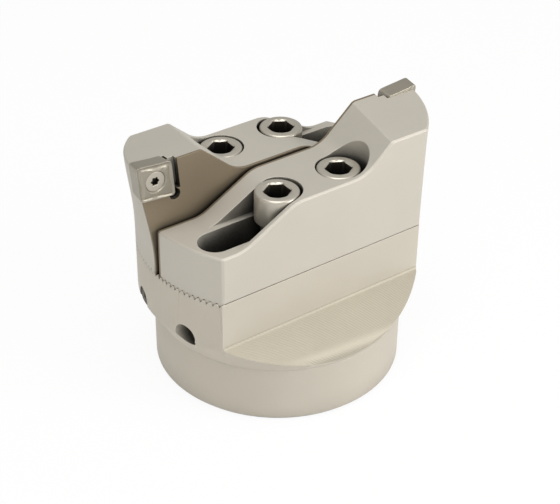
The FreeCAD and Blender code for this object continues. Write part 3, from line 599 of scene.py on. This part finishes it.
def milled_block():
    """The slide block with its two shoulders milled to a slope.

    From the foot of each flat the shoulder falls outward: height = foot - (y - flat) *
    tan(slope), with a small cutter radius in the corner.  The flare under it is a cone
    up to the round ends, so shoulder and cylinder meet without a flat band.  At each
    end the cone also opens the lower corner of a nut channel, a known fault.
    """
    lowest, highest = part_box("slide_block")
    flat, flare_low, flare_top = 19.5 * MM, lowest.z + 0.5 * MM, 22.5 * MM
    low_radius, high_radius = 32.0 * MM, highest.x
    foot, corner, slope = 23.0 * MM, 1.0 * MM, math.radians(27.5)
    # The CAD shoulder's level; the sloping one crosses it this far out.
    level = 20.5 * MM
    crossing = flat + (foot - level) / math.tan(slope)
    lift = foot + corner * (1 / math.cos(slope) - math.tan(slope))
    sweep = np.linspace(math.pi, 1.5 * math.pi - slope, 8)
    arc = [(flat + corner + corner * math.cos(t), lift + corner * math.sin(t)) for t in sweep]
    # The bars' half length, and the ring's outer radius and top; how deep the welds
    # sink into the block, and the ring's room from its round ends.
    far, beyond, above = 46 * MM, 70 * MM, 30 * MM
    overlap, spare = 0.2 * MM, 0.01 * MM
    fall = foot - (far - flat) * math.tan(slope)
    made = welded_copy("slide_block")
    tools = []
    for sign in (1, -1):
        weld = ([(flat - overlap, lift)] + arc
                + [(crossing, level), (crossing, level - MM),
                   (flat - overlap, level - MM)])
        tools.append(("UNION", bar("weld", [(y * sign, z) for y, z in weld], far)))
    tools.append(("DIFFERENCE", ring("flare", [
        (low_radius + spare, lowest.z - MM), (low_radius + spare, flare_low),
        (high_radius + spare, flare_top), (high_radius + spare, above),
        (beyond, above), (beyond, lowest.z - MM)])))
    for sign in (1, -1):
        cut = [(crossing, level + 2 * MM), (crossing, level), (far, fall),
               (far, level + 2 * MM)]
        tools.append(("DIFFERENCE", bar("cut", [(y * sign, z) for y, z in cut], far)))
    for operation, tool in tools:
        combine(made, operation, tool)
    made.data.materials.clear()
    made.data.materials.append(body_nickel)
    made.data.materials.append(milled_nickel)
    areas = faces_of(made, "area")
    upward = faces_of(made, "normal", 3)[:, 2]
    centres = faces_of(made, "center", 3)
    beside = (np.abs(centres[:, 1]) > flat) & (centres[:, 2] < lift)
    least_upward, slope_margin, small_face = 0.05, 0.003, 25 * MM * MM
    shoulder = beside & (upward > least_upward)
    sloping = beside & (np.abs(upward - math.cos(slope)) < slope_margin)
    made.data.polygons.foreach_set("material_index", shoulder.astype(np.int32))
    # Large faces and the slopes are flat, so they stay evenly lit up to the corners.
    rounded = (areas < small_face) & ~sloping
    made.data.polygons.foreach_set("use_smooth", rounded)
    made.data.set_sharp_from_angle(angle=math.radians(25))
    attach(made, "head")
    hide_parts("slide_block")
    return made


milled_block()
for side, sign in SIDES:
    cap_screw(side, "clamp")
    cap_screw(side, "nut")
    insert_screw(side, sign)
    insert(side, sign)


# ------------------------------------------------------------------ stage
def toward(azimuth, elevation):
    """A unit vector out from the middle; azimuth 0 is -Y, and +X is at 90."""
    a, e = math.radians(azimuth), math.radians(elevation)
    return Vector((math.sin(a) * math.cos(e), -math.cos(a) * math.cos(e), math.sin(e)))


def area_light(name, azimuth, elevation, distance, width, height, power, colour):
    """A soft box aimed at the middle of the head."""
    data = bpy.data.lights.new(name, "AREA")
    data.shape = "RECTANGLE"
    data.size = width
    data.size_y = height
    data.energy = power
    data.color = colour
    lamp = bpy.data.objects.new(name, data)
    bpy.context.scene.collection.objects.link(lamp)
    back = toward(azimuth, elevation)
    lamp.location = MIDDLE + back * distance
    lamp.rotation_mode = "QUATERNION"
    lamp.rotation_quaternion = (-back).to_track_quat("-Z", "Y")
    return lamp


MIDDLE = Vector((0, 0, 0.03))
WARM_WHITE = (1, 0.995, 0.985)
area_light("key_softbox", 36, 20, 0.7, 0.35, 0.3, 2.5, WARM_WHITE)
area_light("left_softbox", -50, 40, 0.8, 0.5, 0.4, 0.85, WARM_WHITE)
area_light("top_softbox", -40, 78, 0.7, 0.5, 0.5, 2.6, (1, 1, 1))

scene = bpy.context.scene
world = bpy.data.worlds.new("studio")
scene.world = world
world.use_nodes = True
tree = world.node_tree
background = tree.nodes["Background"]
background.inputs["Color"].default_value = (1, 0.99, 0.97, 1)
background.inputs["Strength"].default_value = 0.39

floor_mesh = bpy.data.meshes.new("floor")
reach = 3.0
floor_mesh.from_pydata([(-reach, -reach, 0), (reach, -reach, 0), (reach, reach, 0),
                        (-reach, reach, 0)], [], [(0, 1, 2, 3)])
floor = bpy.data.objects.new("floor", floor_mesh)
scene.collection.objects.link(floor)
paper = bpy.data.materials.new("white_paper")
paper.use_nodes = True
tree = paper.node_tree
out = tree.nodes["Material Output"]
shader = tree.nodes["Principled BSDF"]
shader.inputs["Base Color"].default_value = (0.9, 0.9, 0.9, 1)
shader.inputs["Roughness"].default_value = 0.8
white = new_node(tree, "ShaderNodeEmission", Strength=1.0)
path = new_node(tree, "ShaderNodeLightPath")
seen = new_node(tree, "ShaderNodeMath", operation="MAXIMUM")
link(tree, path.outputs["Is Camera Ray"], seen.inputs[0])
link(tree, path.outputs["Is Glossy Ray"], seen.inputs[1])
# The floor glows this much white, but only to the camera and to reflections.
GLOW_SHARE = 0.92
share = new_node(tree, "ShaderNodeMath", operation="MULTIPLY")
share.inputs[1].default_value = GLOW_SHARE
link(tree, seen.outputs[0], share.inputs[0])
mix = new_node(tree, "ShaderNodeMixShader")
link(tree, share.outputs[0], mix.inputs[0])
link(tree, shader.outputs[0], mix.inputs[1])
link(tree, white.outputs[0], mix.inputs[2])
link(tree, mix.outputs[0], out.inputs["Surface"])
floor_mesh.materials.append(paper)

# ------------------------------------------------------------------ camera
AZIMUTH, ELEVATION, ROLL = -36.5, 34.1, 0.77
DISTANCE = 0.3618
TARGET = Vector((0.00076, 0.00009, 0.02847))
camera_data = bpy.data.cameras.new("camera")
camera_data.sensor_width = 36.0
camera_data.lens = 90.6
camera = bpy.data.objects.new("camera", camera_data)
scene.collection.objects.link(camera)
around_z, roll = math.radians(AZIMUTH), math.radians(ROLL)
back = toward(AZIMUTH, ELEVATION)
side_way = Vector((math.cos(around_z), math.sin(around_z), 0))
up_way = back.cross(side_way)
right = side_way * math.cos(roll) + up_way * math.sin(roll)
up = up_way * math.cos(roll) - side_way * math.sin(roll)
turn = Matrix((right, up, back)).transposed()
camera.matrix_world = Matrix.Translation(TARGET + back * DISTANCE) @ turn.to_4x4()
scene.camera = camera
scene.view_settings.view_transform = "Standard"
